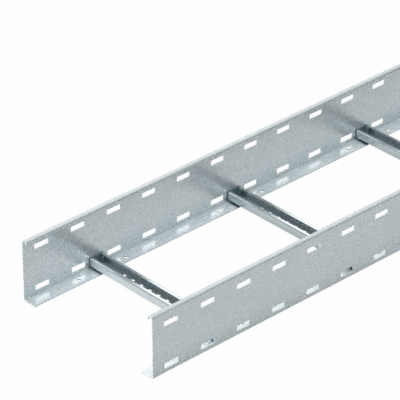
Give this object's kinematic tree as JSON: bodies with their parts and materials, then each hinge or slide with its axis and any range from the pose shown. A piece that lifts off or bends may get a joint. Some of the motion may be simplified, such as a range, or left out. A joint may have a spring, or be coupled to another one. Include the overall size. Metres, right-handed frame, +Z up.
{
  "type": "cable ladder section",
  "caption": "Straight steel cable ladder section: two slotted side rails bent inward at top and bottom, joined by open C-section rungs.",
  "frame": {"origin": "on the underside, in the middle of the length and of the width", "axes": "+X along the ladder, +Y across it towards the left side rail, +Z up, towards the open side that cables are laid into"},
  "size_m": [3, 0.3, 0.11],
  "materials": {
    "galvanised_rail": "satin",
    "galvanised_rung": "satin"
  },
  "bodies": {
    "root": {"side_rail_left": "galvanised_rail", "side_rail_right": "galvanised_rail", "rung_01": "galvanised_rung", "rung_02": "galvanised_rung", "rung_03": "galvanised_rung", "rung_04": "galvanised_rung", "rung_05": "galvanised_rung", "rung_06": "galvanised_rung", "rung_07": "galvanised_rung", "rung_08": "galvanised_rung", "rung_09": "galvanised_rung", "rung_10": "galvanised_rung"}
  },
  "joints": []
}
